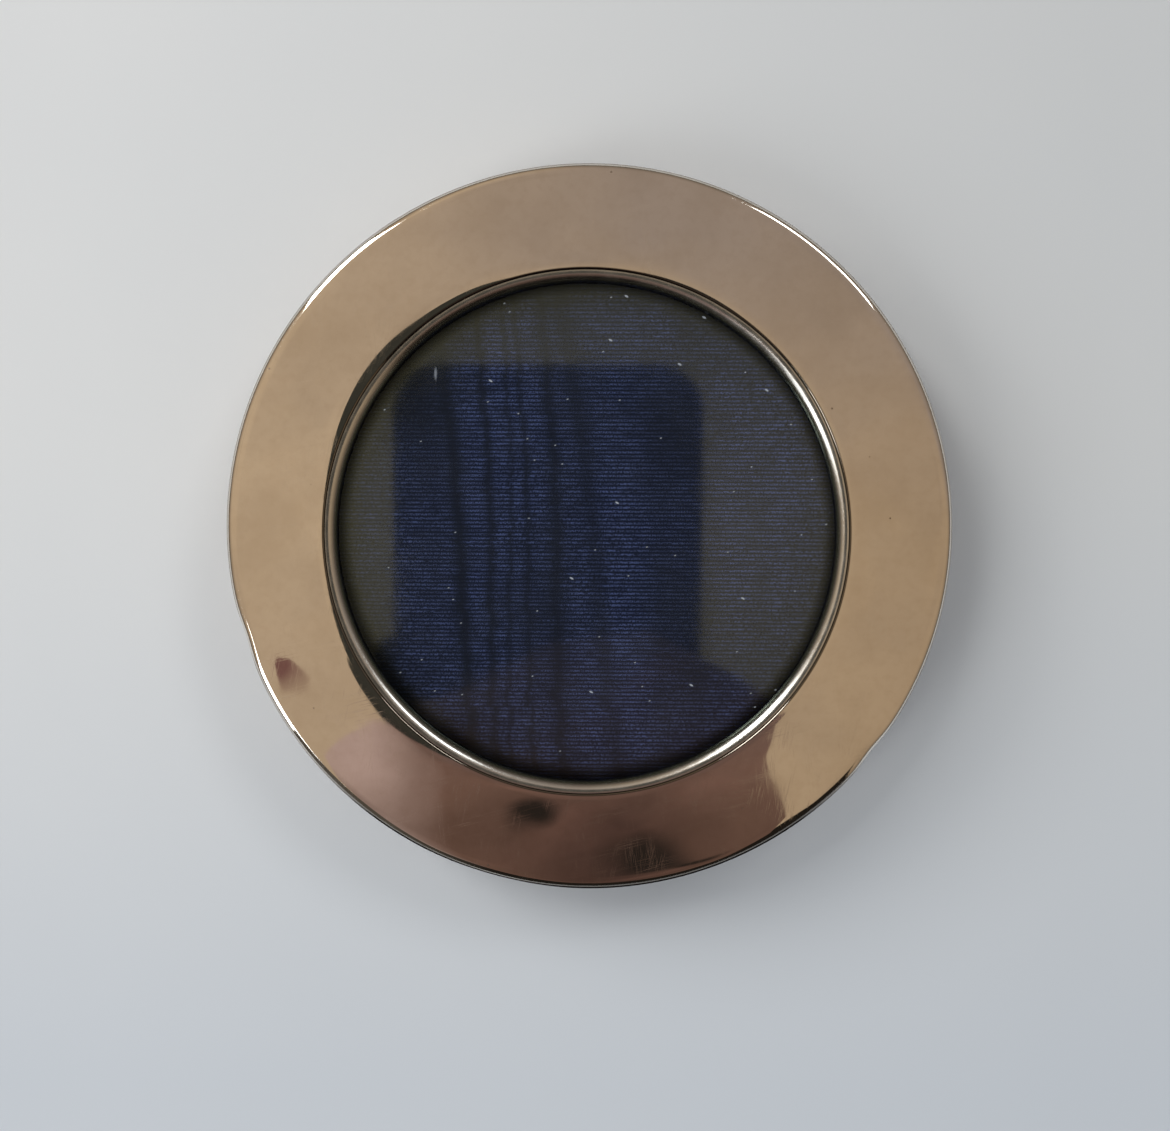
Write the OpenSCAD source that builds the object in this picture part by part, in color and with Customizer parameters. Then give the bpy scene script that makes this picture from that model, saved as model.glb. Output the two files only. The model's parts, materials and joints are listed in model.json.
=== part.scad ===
// Small round silver display frame with a push-in padded back and an easel strut.
// It lies on its back: +Z is the way the face looks, +Y is the top of the frame when it stands,
// and the origin is on the frame's axis in the plane that the folded strut rests on.

/* [Frame] */
// Outer diameter of the silver front
frame_d = 88; // [80:0.5:100]
// Diameter of the opening in the flat silver face
face_opening_d = 63.4; // [54:0.2:64]
// Radius of the rounded outer shoulder
shoulder_r = 1.1; // [0.6:0.1:1.6]
// Radius of the roll where the face turns down into the opening
inner_roll_r = 0.5; // [0.5:0.1:0.7]
// Thickness of the pressed silver sheet
sheet_t = 0.4; // [0.3:0.05:0.4]
// Angle that the frame leans back when it stands on its strut
lean_deg = 20; // [19:1:24]

/* [Bead and glass] */
// Width of the half-round bead, from its crease to its inner edge
bead_w = 1.4; // [1.2:0.05:1.4]
// Depth from the flat face down to the glass
glass_recess = 1.6; // [1.5:0.1:1.8]
// Thickness of the glass
glass_t = 1.6; // [1:0.1:2]
// Thickness of the card ring that keeps the silk off the glass
spacer_t = 0.8; // [0.5:0.1:1]

/* [Padded back] */
// Thickness of the watered silk
silk_t = 0.3; // [0.2:0.05:0.4]
// Thickness of the wadding under the silk
wadding_t = 1; // [0.6:0.1:1]
// Thickness of the card that the silk is stretched over
card_t = 1; // [0.8:0.1:1]
// Thickness of the wooden back disc
back_board_t = 2.2; // [2:0.1:2.4]
// Thickness of the velvet on the back and the strut
velvet_t = 0.5; // [0.4:0.05:0.5]
// How far the back's velvet stands behind the edge of the skirt
back_proud = 0.4; // [0.3:0.05:0.6]

/* [Strut] */
// Width of the strut at the hinge
strut_top_w = 19; // [18:0.5:22]
// Width of the strut at its foot
strut_foot_w = 25; // [22:0.5:26]
// Thickness of the wooden strut
strut_board_t = 1.8; // [1.6:0.1:1.8]
// Thickness of the paper lining on the strut's inner face
lining_t = 0.3; // [0.2:0.05:0.3]
// Gap between the folded strut and the back
fold_gap = 0.4; // [0.3:0.05:0.5]
// Angle that the strut opens to before its lug meets the upper leaf
strut_open_deg = 35; // [30:1:36]

/* [Hinge] */
// Height of the hinge pin above the middle of the frame, along the frame's up direction
hinge_y = 20; // [19:0.5:22]
// Diameter of the hinge barrel
barrel_d = 2.6; // [2.4:0.1:2.6]
// Diameter of the hinge pin
pin_d = 1.2; // [1:0.1:1.3]
// Length of the hinge barrel
barrel_len = 14; // [13:0.5:14]

/* [Hidden] */
$fn = 128;
past = 0.01; // how far a cutting solid runs past the face that it cuts
corner_steps = 10; // flats in each round corner of a plate

// The stack of layers, from the floor up
stop_play = 0.1; // between the pushed-in silk and the card ring
strut_t = velvet_t + strut_board_t + lining_t;
strut_board_z = velvet_t;
lining_z = strut_board_z + strut_board_t;
back_z = strut_t + fold_gap;
back_board_z = back_z + velvet_t;
card_z = back_board_z + back_board_t;
wadding_z = card_z + card_t;
silk_z = wadding_z + wadding_t;
spacer_z = silk_z + silk_t + stop_play;
glass_z = spacer_z + spacer_t;
glass_top_z = glass_z + glass_t;
face_z = glass_top_z + glass_recess;
skirt_z = back_z + back_proud;
side_h = face_z - skirt_z;

// Radii of the front
frame_r = frame_d / 2;
opening_r = face_opening_d / 2;
crease = 0.05; // gap between the lip and the bead
bead_r = opening_r - crease;
bead_inner_r = bead_r - bead_w;
flange_r = bead_r + 1.5;
flange_t = 0.5;
lip_h = glass_recess - flange_t; // the turned-down lip ends on the bead's flange
glass_r = flange_r + 0.5;
glass_play = 0.2;
rebate_r = glass_r + glass_play + 2.2;
spacer_inner_r = bead_inner_r + 0.8;
cover_t = 0.4;
cover_inner_r = rebate_r + 0.3;
skirt_inner_r = frame_r - sheet_t;

// Skirt pins
skirt_pin_count = 6;
first_pin_deg = 15;
skirt_pin_r = 0.35;
skirt_pin_head_r = 0.8;
skirt_pin_len = 3.5;
skirt_pin_z = skirt_z + 0.4 * side_h;
pin_head_proud = 0.25;

// The back runs in the rebate with this radial play
push_play = 0.12;
back_r = rebate_r - push_play;
insert_r = back_r - 0.1;

// The hinge: the barrel sits between the back and the floor
barrel_r = barrel_d / 2;
pin_r = pin_d / 2;
pin_play = 0.05;
pin_head_r = 0.95;
pin_head_t = 0.4;
leaf_t = 0.5;
hinge_z = back_z - leaf_t - 1;
knuckle_gap = 0.2;
knuckle_len = (barrel_len - 2 * knuckle_gap) / 3;
barrel_clear = 0.3; // between a barrel and the plate that turns beside it
upper_leaf_z = back_z - leaf_t;
upper_leaf_len = 12;
upper_leaf_tip_w = 8;
upper_leaf_base_len = 4;
leaf_corner_r = 1.5;
lower_leaf_z = strut_t - leaf_t;
lower_leaf_len = 12;
lug_len = 3;
lug_t = 0.55;
lug_play = 0.03;

// Rivets
rivet_r = 0.7;
rivet_head_r = 1.3;
rivet_head_h = 0.5;
upper_rivet_bite = 1.6; // how far a rivet goes into the back board
upper_rivets_at = [[-4.6, 5], [4.6, 5], [0, 9.2]]; // across, and above the hinge pin
lower_rivets_at = [[-4.6, -8.5], [4.6, -8.5]];

// Strut outline. Its length brings the foot and the frame's lower edge down to one table.
strut_len = (hinge_y + frame_r - (skirt_z - hinge_z) * tan(lean_deg))
    / (cos(strut_open_deg) + tan(lean_deg) * sin(strut_open_deg));
strut_top_gap = barrel_r + barrel_clear; // from the hinge pin to the strut's upper end
strut_corner_r = 2;
lining_inset = 0.3;

// Pull tab
tab_w = 10;
tab_inner_y = hinge_y + upper_leaf_len + 1;
tab_outer_y = rebate_r + 4;
tab_t = 0.5;

// ---------- shapes that repeat ----------

// A flat disc
module disc(r, z, t) {
    translate([0, 0, z]) cylinder(r = r, h = t);
}

// A flat ring
module ring(r_outer, r_inner, z, t) {
    difference() {
        disc(r_outer, z, t);
        disc(r_inner, z - past, t + 2 * past);
    }
}

// Half section of a disc with a rounded upper edge, standing on the X axis
module rounded_section(r, h, corner) {
    square([r - corner, h]);
    square([r, h - corner]);
    translate([r - corner, h - corner]) circle(r = corner);
}

// Convex plate with round corners: corners are the centres of the corner arcs, counter-clockwise
module rounded_plate(corners, corner_r, z, t) {
    n = len(corners);
    function side_deg(i) =
        let (d = corners[(i + 1) % n] - corners[i % n])
        atan2(d[1], d[0]) - 90;
    function turn_deg(i) = (side_deg(i) - side_deg(i + n - 1) + 360) % 360;
    outline = [
        for (i = [0 : n - 1], k = [0 : corner_steps])
            let (deg = side_deg(i + n - 1) + turn_deg(i) * k / corner_steps)
            corners[i] + corner_r * [cos(deg), sin(deg)]
    ];
    translate([0, 0, z]) linear_extrude(t) polygon(outline);
}

// Plate in the strut's outline, moved in by inset all round
module strut_plate(inset, z, t) {
    r = strut_corner_r - inset;
    top_y = hinge_y - strut_top_gap - strut_corner_r;
    foot_y = hinge_y - strut_len + strut_corner_r;
    top_x = strut_top_w / 2 - strut_corner_r;
    foot_x = strut_foot_w / 2 - strut_corner_r;
    rounded_plate([[-foot_x, foot_y], [foot_x, foot_y], [top_x, top_y], [-top_x, top_y]], r, z, t);
}

// Cylinder along X, centred on the hinge pin
module along_pin(r, x_from, x_to) {
    translate([x_from, hinge_y, hinge_z]) rotate([0, 90, 0]) cylinder(r = r, h = x_to - x_from);
}

// Hole through a leaf or board at each rivet
module rivet_holes(places, r, z, t) {
    for (p = places) translate([p[0], hinge_y + p[1], z]) cylinder(r = r, h = t);
}

// Domed head of radius r and height h, standing on the X-Y plane
module dome(r, h) {
    ball_r = (r * r + h * h) / (2 * h);
    rotate_extrude() intersection() {
        translate([0, h - ball_r]) circle(r = ball_r);
        square([r, h]);
    }
}

// Block over the lower leaf's place, from its lower end up to top_gap short of the hinge pin
module lower_leaf_block(top_gap, z, t) {
    translate([-barrel_len / 2, hinge_y - lower_leaf_len, z])
        cube([barrel_len, lower_leaf_len - top_gap, t]);
}

// ---------- front ----------

// Half section of the silver: skirt, shoulder, flat face, roll and lip
module silver_section() {
    face_inner_r = opening_r + inner_roll_r;
    difference() {
        translate([0, skirt_z]) rounded_section(frame_r, side_h, shoulder_r);
        translate([0, skirt_z - past])
            rounded_section(skirt_inner_r, side_h - sheet_t + past, shoulder_r - sheet_t);
        square([face_inner_r, face_z + past]);
    }
    intersection() {
        translate([face_inner_r, face_z - inner_roll_r]) difference() {
            circle(r = inner_roll_r);
            circle(r = inner_roll_r - sheet_t);
        }
        translate([opening_r, face_z - inner_roll_r]) square([inner_roll_r + past, inner_roll_r]);
    }
    translate([opening_r, face_z - lip_h]) square([sheet_t, lip_h - inner_roll_r + past]);
}

// Pressed silver sheet
module silver_front() color([0.80, 0.73, 0.64]) difference() {
    rotate_extrude() silver_section();
    skirt_pin_holes();
}

// Half-round bead with the flange that the lip and the core trap
module aperture_bead() color([0.86, 0.81, 0.74]) rotate_extrude() {
    intersection() {
        translate([bead_r, glass_top_z]) circle(r = bead_w);
        translate([bead_inner_r, glass_top_z]) square([bead_w, bead_w]);
    }
    translate([bead_r - past, glass_top_z]) square([flange_r - bead_r + past, flange_t]);
}

// Turned wooden ring inside the silver, with a rebate for the glass and a wider one for the back
module core_ring() color([0.70, 0.52, 0.34]) {
    core_z = skirt_z + cover_t;
    core_h = side_h - sheet_t - cover_t;
    difference() {
        rotate_extrude() difference() {
            translate([0, core_z]) rounded_section(skirt_inner_r, core_h, shoulder_r - sheet_t);
            translate([0, core_z - past]) square([rebate_r, spacer_z - core_z + past]);
            square([glass_r + glass_play, glass_top_z]);
            square([flange_r + glass_play, face_z]);
        }
        skirt_pin_holes();
    }
}

// Velvet ring that covers the back of the core
module rear_ring_cover() color([0.05, 0.06, 0.16]) {
    ring(skirt_inner_r, cover_inner_r, skirt_z, cover_t);
}

// Places one child at each skirt pin, with +Z outward along the pin
module at_skirt_pins() {
    for (i = [0 : skirt_pin_count - 1])
        rotate([0, 0, first_pin_deg + i * 360 / skirt_pin_count])
            translate([frame_r, 0, skirt_pin_z]) rotate([0, 90, 0]) children();
}

// Holes for the skirt pins
module skirt_pin_holes() {
    at_skirt_pins() translate([0, 0, -skirt_pin_len]) cylinder(r = skirt_pin_r, h = skirt_pin_len + 1);
}

// Six small round-headed pins
module skirt_pins() color([0.78, 0.72, 0.63]) {
    at_skirt_pins() {
        translate([0, 0, -skirt_pin_len]) cylinder(r = skirt_pin_r, h = skirt_pin_len + past);
        dome(skirt_pin_head_r, pin_head_proud);
    }
}

// Round picture glass
module glass() color([0.80, 0.88, 0.90, 0.35]) {
    disc(glass_r, glass_z, glass_t);
}

// Black card ring behind the glass
module spacer_ring() color([0.05, 0.05, 0.06]) {
    ring(glass_r, spacer_inner_r, spacer_z, spacer_t);
}

// ---------- padded back ----------

// Watered silk over the pad, turned down round its edge
module moire_silk() color([0.06, 0.08, 0.22]) difference() {
    disc(insert_r, card_z, silk_z + silk_t - card_z);
    disc(insert_r - silk_t, card_z - past, silk_z - card_z + past);
}

// Thin wadding under the silk
module silk_wadding() color([0.90, 0.89, 0.86]) {
    disc(insert_r - silk_t, wadding_z, wadding_t);
}

// Card disc that the silk is stretched over
module insert_card() color([0.75, 0.72, 0.66]) {
    disc(insert_r - silk_t, card_z, card_t);
}

// Wooden back disc
module back_board() color([0.72, 0.55, 0.38]) difference() {
    disc(back_r - velvet_t, back_board_z, back_board_t);
    rivet_holes(upper_rivets_at, rivet_r, back_board_z - past, upper_rivet_bite + past);
}

// Velvet over the outside and the edge of the back
module back_velvet() color([0.05, 0.06, 0.17]) difference() {
    disc(back_r, back_z, velvet_t + back_board_t);
    disc(back_r - velvet_t, back_board_z, back_board_t + past);
    rivet_holes(upper_rivets_at, rivet_r, back_z - past, velvet_t + 2 * past);
}

// Folded ribbon tab for pulling the back out
module pull_tab() color([0.05, 0.06, 0.20]) {
    translate([-tab_w / 2, tab_inner_y, back_z - tab_t]) cube([tab_w, tab_outer_y - tab_inner_y, tab_t]);
}

// Upper hinge leaf: a tapered plate under the back, and the two outer knuckles
module hinge_upper_leaf() color([0.80, 0.66, 0.36]) {
    half = barrel_len / 2;
    base_y = hinge_y + upper_leaf_base_len;
    base_x = half - leaf_corner_r;
    tip_x = upper_leaf_tip_w / 2 - leaf_corner_r;
    tip_y = hinge_y + upper_leaf_len - leaf_corner_r;
    room_x = knuckle_len / 2 + knuckle_gap;
    difference() {
        union() {
            rounded_plate([[-base_x, base_y], [base_x, base_y], [tip_x, tip_y], [-tip_x, tip_y]],
                leaf_corner_r, upper_leaf_z, leaf_t);
            translate([-half, hinge_y, upper_leaf_z]) cube([barrel_len, upper_leaf_base_len, leaf_t]);
            along_pin(barrel_r, -half, -room_x);
            along_pin(barrel_r, room_x, half);
        }
        // room for the middle knuckle to turn
        translate([-room_x, hinge_y - past, upper_leaf_z - past])
            cube([2 * room_x, barrel_r + barrel_clear + past, leaf_t + 2 * past]);
        along_pin(pin_r + pin_play, -half - past, half + past);
        rivet_holes(upper_rivets_at, rivet_r, upper_leaf_z - past, leaf_t + 2 * past);
    }
}

// Three domed rivets through the upper leaf into the back board
module upper_rivets() color([0.85, 0.70, 0.38]) {
    for (p = upper_rivets_at) translate([p[0], hinge_y + p[1], upper_leaf_z]) {
        cylinder(r = rivet_r, h = back_board_z - upper_leaf_z + upper_rivet_bite);
        mirror([0, 0, 1]) dome(rivet_head_r, rivet_head_h);
    }
}

// ---------- strut ----------

// Tapered wooden strut, let in for the hinge leaf
module strut_board() color([0.72, 0.55, 0.38]) difference() {
    strut_plate(velvet_t, strut_board_z, strut_board_t);
    lower_leaf_block(0, lower_leaf_z, strut_t);
    rivet_holes(lower_rivets_at, rivet_r, 0, strut_t);
}

// Velvet over the strut's outer face and sides
module strut_velvet() color([0.05, 0.06, 0.17]) difference() {
    strut_plate(0, 0, strut_board_z + strut_board_t);
    strut_plate(velvet_t, strut_board_z, strut_board_t + past);
    lower_leaf_block(0, lower_leaf_z, strut_t);
    rivet_holes(lower_rivets_at, rivet_head_r, -past, velvet_t + 2 * past);
}

// Paper lining on the strut's inner face
module strut_lining() color([0.09, 0.10, 0.20]) difference() {
    strut_plate(lining_inset, lining_z, lining_t);
    lower_leaf_block(0, lower_leaf_z, strut_t);
}

// Lower hinge leaf: a plate let into the strut, the middle knuckle and its stop lug
module hinge_lower_leaf() color([0.80, 0.66, 0.36]) difference() {
    union() {
        lower_leaf_block(strut_top_gap, lower_leaf_z, leaf_t);
        translate([-knuckle_len / 2, hinge_y - strut_top_gap - past, lower_leaf_z])
            cube([knuckle_len, strut_top_gap + past, leaf_t]);
        along_pin(barrel_r, -knuckle_len / 2, knuckle_len / 2);
        // the lug lies flat under the upper leaf when the strut is fully open
        translate([0, hinge_y, hinge_z]) rotate([-strut_open_deg, 0, 0])
            translate([-knuckle_len / 2, 0, upper_leaf_z - hinge_z - lug_play - lug_t])
                cube([knuckle_len, lug_len, lug_t]);
    }
    along_pin(pin_r, -barrel_len, barrel_len);
    rivet_holes(lower_rivets_at, rivet_r, lower_leaf_z - past, leaf_t + 2 * past);
}

// Two rivets with heads flush in the velvet
module lower_rivets() color([0.85, 0.70, 0.38]) {
    for (p = lower_rivets_at) translate([p[0], hinge_y + p[1], 0]) {
        cylinder(r = rivet_head_r, h = velvet_t);
        cylinder(r = rivet_r, h = strut_t);
    }
}

// Hinge pin with a small head at each end
module hinge_pin() color([0.70, 0.58, 0.32]) {
    half = barrel_len / 2 + pin_play;
    along_pin(pin_r, -half, half);
    along_pin(pin_head_r, half, half + pin_head_t);
    along_pin(pin_head_r, -half - pin_head_t, -half);
}

silver_front();
aperture_bead();
core_ring();
rear_ring_cover();
skirt_pins();
glass();
spacer_ring();
moire_silk();
silk_wadding();
insert_card();
back_board();
back_velvet();
pull_tab();
hinge_upper_leaf();
upper_rivets();
strut_board();
strut_velvet();
strut_lining();
hinge_lower_leaf();
lower_rivets();
hinge_pin();
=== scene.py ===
"""Looks of a small round silver display frame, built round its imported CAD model.

The frame lies on its back: +Z is the way the face looks and +Y is the top of the frame when it stands.
Everything is in metres. MM turns millimetres into metres.
"""

import json
import math

import bmesh
import bpy
import numpy as np
from mathutils import Matrix, Quaternion, Vector


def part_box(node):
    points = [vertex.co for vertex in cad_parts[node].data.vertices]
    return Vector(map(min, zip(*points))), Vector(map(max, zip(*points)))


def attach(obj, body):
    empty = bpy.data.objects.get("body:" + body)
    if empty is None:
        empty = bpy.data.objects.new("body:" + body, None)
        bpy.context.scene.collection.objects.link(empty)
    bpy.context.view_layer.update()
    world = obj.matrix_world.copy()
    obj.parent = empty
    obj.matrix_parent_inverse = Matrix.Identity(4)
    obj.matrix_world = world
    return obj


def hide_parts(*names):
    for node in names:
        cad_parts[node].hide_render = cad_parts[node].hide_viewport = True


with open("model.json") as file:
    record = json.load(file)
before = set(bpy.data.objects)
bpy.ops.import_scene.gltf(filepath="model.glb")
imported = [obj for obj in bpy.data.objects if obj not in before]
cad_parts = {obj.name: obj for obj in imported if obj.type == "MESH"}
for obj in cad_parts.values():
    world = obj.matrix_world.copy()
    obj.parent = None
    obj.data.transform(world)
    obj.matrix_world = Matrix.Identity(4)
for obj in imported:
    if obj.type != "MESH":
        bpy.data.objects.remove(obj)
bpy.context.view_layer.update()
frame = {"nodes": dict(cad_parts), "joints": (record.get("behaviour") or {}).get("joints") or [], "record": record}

MM = 0.001
AROUND = 384  # points round the fine rings
SEED = 7

# Sizes of the silver and the bead that the frame's boxes don't give
SHOULDER_R = 1.1 * MM
ROLL_R = 0.22 * MM
LIP_DEPTH = 1.1 * MM
BEAD_FLANGE_T = 0.5 * MM
OFF_CENTRE = (-0.15 * MM, -0.18 * MM)  # how far the hand-cut opening and its bead sit off the rim's centre
WAVE_ROOM = 0.04 * MM  # left between the core and the waves of the face

# Fabric
SILK_T = 0.3 * MM
VELVET_T = 0.5 * MM
RIB_PITCH = 0.486 * MM
RIB_HEIGHT = 0.055 * MM
ROWS_PER_RIB = 4
RIBS = 400  # room for every rib of the silk, half of them on each side of the middle

# Strut and hinge
STRUT_TOP_W = 19 * MM
STRUT_CORNER_R = 2 * MM
STRUT_PAPER_INSET = 0.3 * MM
LEAF_T = 0.5 * MM
LEAF_BASE_LEN = 4 * MM
LEAF_TIP_W = 8 * MM
LEAF_CORNER_R = 1.5 * MM
LEAF_EASE = 0.1 * MM
BARREL_R = 1.3 * MM
BORE_R = 0.65 * MM
PIN_R = 0.6 * MM
KNUCKLE_GAP = 0.2 * MM
LUG_LEN = 3 * MM
LUG_T = 0.55 * MM
LUG_GAP = 0.03 * MM
LUG_BACK_DEG = 35
SHANK_R = 0.7 * MM
PIN_SHANK_R = 0.35 * MM
PIN_HEAD_R = 0.8 * MM
RIVET_HEAD_R = 1.3 * MM
NEAR_AXIS_R = 2 * MM  # where a disc's profile stops and a flat cap closes it

# Camera and studio
CAMERA_X = 3.05 * MM
CAMERA_Y = 6.54 * MM
CAMERA_OVER_FACE = 138.4 * MM
CAMERA_LENS = 35.38
CAMERA_SENSOR = 36
CAMERA_PITCH_DEG = 4.25
CAMERA_YAW_DEG = 1.33
CAMERA_ROLL_RAD = 0.0047
FLOOR_HALF = 3.0
FLOOR_Z = -0.02 * MM
CEILING_HALF = 6.0
CEILING_Z = 1.5
DAYLIGHT = (0.93, 0.97, 1.0)

NODE_BODY = {node: body for body, nodes in frame["record"]["behaviour"]["bodies"].items() for node in nodes}
HINGE = next(Vector(joint["pos_m"]) for joint in frame["joints"] if joint["name"] == "strut_hinge")


# ---------- shapes ----------

def radii(node):
    """Smallest and largest distance of a CAD node's points from the frame's axis."""
    reach = [math.hypot(v.co.x, v.co.y) for v in frame["nodes"][node].data.vertices]
    return min(reach), max(reach)


def levels(node):
    """Lowest and highest Z of a CAD node."""
    low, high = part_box(node)
    return low.z, high.z


def extents(node):
    """Smallest and largest distance from the frame's axis, and lowest and highest Z, of a CAD node."""
    return *radii(node), *levels(node)


def arc(centre, radius, start, sweep, steps):
    """Points along an arc from the turn start through sweep."""
    turns = [start + sweep * k / steps for k in range(steps + 1)]
    return [(centre[0] + radius * math.cos(t), centre[1] + radius * math.sin(t)) for t in turns]


def filleted(corners, steps=6):
    """Outline through (x, y, radius) corners, each turned into an arc of that radius."""
    outline = []
    for i, (x, y, radius) in enumerate(corners):
        here = Vector((x, y))
        if radius <= 0:
            outline.append((x, y))
            continue
        back = (Vector(corners[i - 1][:2]) - here).normalized()
        on = (Vector(corners[(i + 1) % len(corners)][:2]) - here).normalized()
        half = back.angle(on) / 2
        centre = here + (back + on).normalized() * radius / math.sin(half)
        first = here + back * radius / math.tan(half) - centre
        last = here + on * radius / math.tan(half) - centre
        start = math.atan2(first.y, first.x)
        sweep = (math.atan2(last.y, last.x) - start + math.pi) % math.tau - math.pi
        outline += arc(centre, radius, start, sweep, steps)
    return outline


def both_sides(right):
    """Corners of the right half of an outline and the same mirrored to the left."""
    return right + [(-x, y, radius) for x, y, radius in right[::-1]]


def subdivided(outline, longest, loop=True):
    """The outline with no span longer than longest."""
    made = []
    for i, a in enumerate(outline):
        made.append(tuple(a))
        if i == len(outline) - 1 and not loop:
            break
        b = outline[(i + 1) % len(outline)]
        pieces = math.ceil(math.dist(a, b) / longest - 1e-6)
        made += [tuple(np.array(a) + (np.array(b) - np.array(a)) * k / pieces) for k in range(1, pieces)]
    return made


def band(a, b):
    """Faces between two closed rings of point numbers."""
    return [(a[k - 1], a[k], b[k], b[k - 1]) for k in [*range(1, len(a)), 0]]


def skin(rings, loop=False):
    """(points, faces) over a stack of rings: the ends are capped or, with loop, joined to each other."""
    around = len(rings[0])
    numbers = [range(i * around, (i + 1) * around) for i in range(len(rings))]
    faces = []
    for a, b in zip(numbers, numbers[1:] + numbers[:1] if loop else numbers[1:]):
        faces += band(a, b)
    if not loop:
        faces += [tuple(numbers[0])[::-1], tuple(numbers[-1])]
    return np.concatenate(rings), faces


def spun(profile, turns):
    """One ring of points at the given turns about the frame's axis for each (r, z) of a profile."""
    ring = np.stack([np.cos(turns), np.sin(turns), np.zeros(len(turns))], axis=1)
    return [ring * [r, r, 0] + [0, 0, z] for r, z in profile]


def lathed(profile, around=AROUND, loop=False):
    """Skin of a profile of (r, z) points turned about the frame's axis."""
    return skin(spun(profile, np.linspace(0, math.tau, around, endpoint=False)), loop)


def turned_ring(corners, steps, longest):
    """Closed section of (r, z, radius) corners turned about the frame's axis."""
    return lathed(subdivided(filleted(corners, steps), longest), loop=True)


def raised(outlines):
    """Skin over a stack of (outline, z) pairs, whose outlines all have the same number of points."""
    return skin([np.array([(x, y, z) for x, y in outline]) for outline, z in outlines])


def rounded(edge, z, way, steps=4):
    """(inset, z) pairs round an edge, from the flat face at z to a wall going up (way 1) or down (-1)."""
    quarter = arc((0, 0), edge, math.pi / 2, -math.pi / 2, steps)
    return [(edge - out, z + way * (edge - along)) for out, along in quarter]


def merged(shapes):
    """Several (points, faces) as one."""
    points, faces, count = [], [], 0
    for more_points, more_faces in shapes:
        points.append(more_points)
        faces += [tuple(i + count for i in face) for face in more_faces]
        count += len(more_points)
    return np.concatenate(points), faces


def moved(shape, matrix):
    """The shape carried by a 4x4 matrix."""
    points, faces = shape
    m = np.array(matrix)
    return points @ m[:3, :3].T + m[:3, 3], faces


def smooth_step(low, high, x):
    """0 at low, 1 at high and a smooth rise between. low may be the larger one."""
    t = np.clip((x - low) / (high - low), 0, 1)
    return t * t * (3 - 2 * t)


def waves(x, y, size, seed, count=9):
    """Smooth random field between about -1 and 1 whose lumps are about size across."""
    rng = np.random.default_rng(seed)
    total = np.zeros(np.shape(x))
    for _ in range(count):
        turn = rng.uniform(0, math.tau)
        phase = rng.uniform(0, math.tau)
        pitch = size * rng.uniform(0.7, 1.8)
        total += np.sin((x * math.cos(turn) + y * math.sin(turn)) * math.tau / pitch + phase)
    return total / math.sqrt(count)


def in_scene(name, data):
    made = bpy.data.objects.new(name, data)
    bpy.context.scene.collection.objects.link(made)
    return made


def piece(name, shape, material, node, sharp_deg=32, values=None):
    """New object for a CAD node: it stands for the node and rides on its body."""
    points, faces = shape
    mesh = bpy.data.meshes.new(name)
    mesh.from_pydata(points.tolist(), [], faces)
    solid = bmesh.new()
    solid.from_mesh(mesh)
    bmesh.ops.recalc_face_normals(solid, faces=solid.faces)
    solid.to_mesh(mesh)
    solid.free()
    for key, numbers in (values or {}).items():
        mesh.attributes.new(key, "FLOAT", "POINT").data.foreach_set("value", numbers.astype(np.float32))
    mesh.shade_smooth()
    mesh.set_sharp_from_angle(angle=math.radians(sharp_deg))
    mesh.materials.append(material)
    made = in_scene(name, mesh)
    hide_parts(node)
    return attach(made, NODE_BODY[node])


# ---------- materials ----------

def opaque(colour):
    """An (r, g, b) tuple as RGBA. Anything else stays as it is."""
    return (*colour, 1) if isinstance(colour, tuple) and len(colour) == 3 else colour


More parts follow.
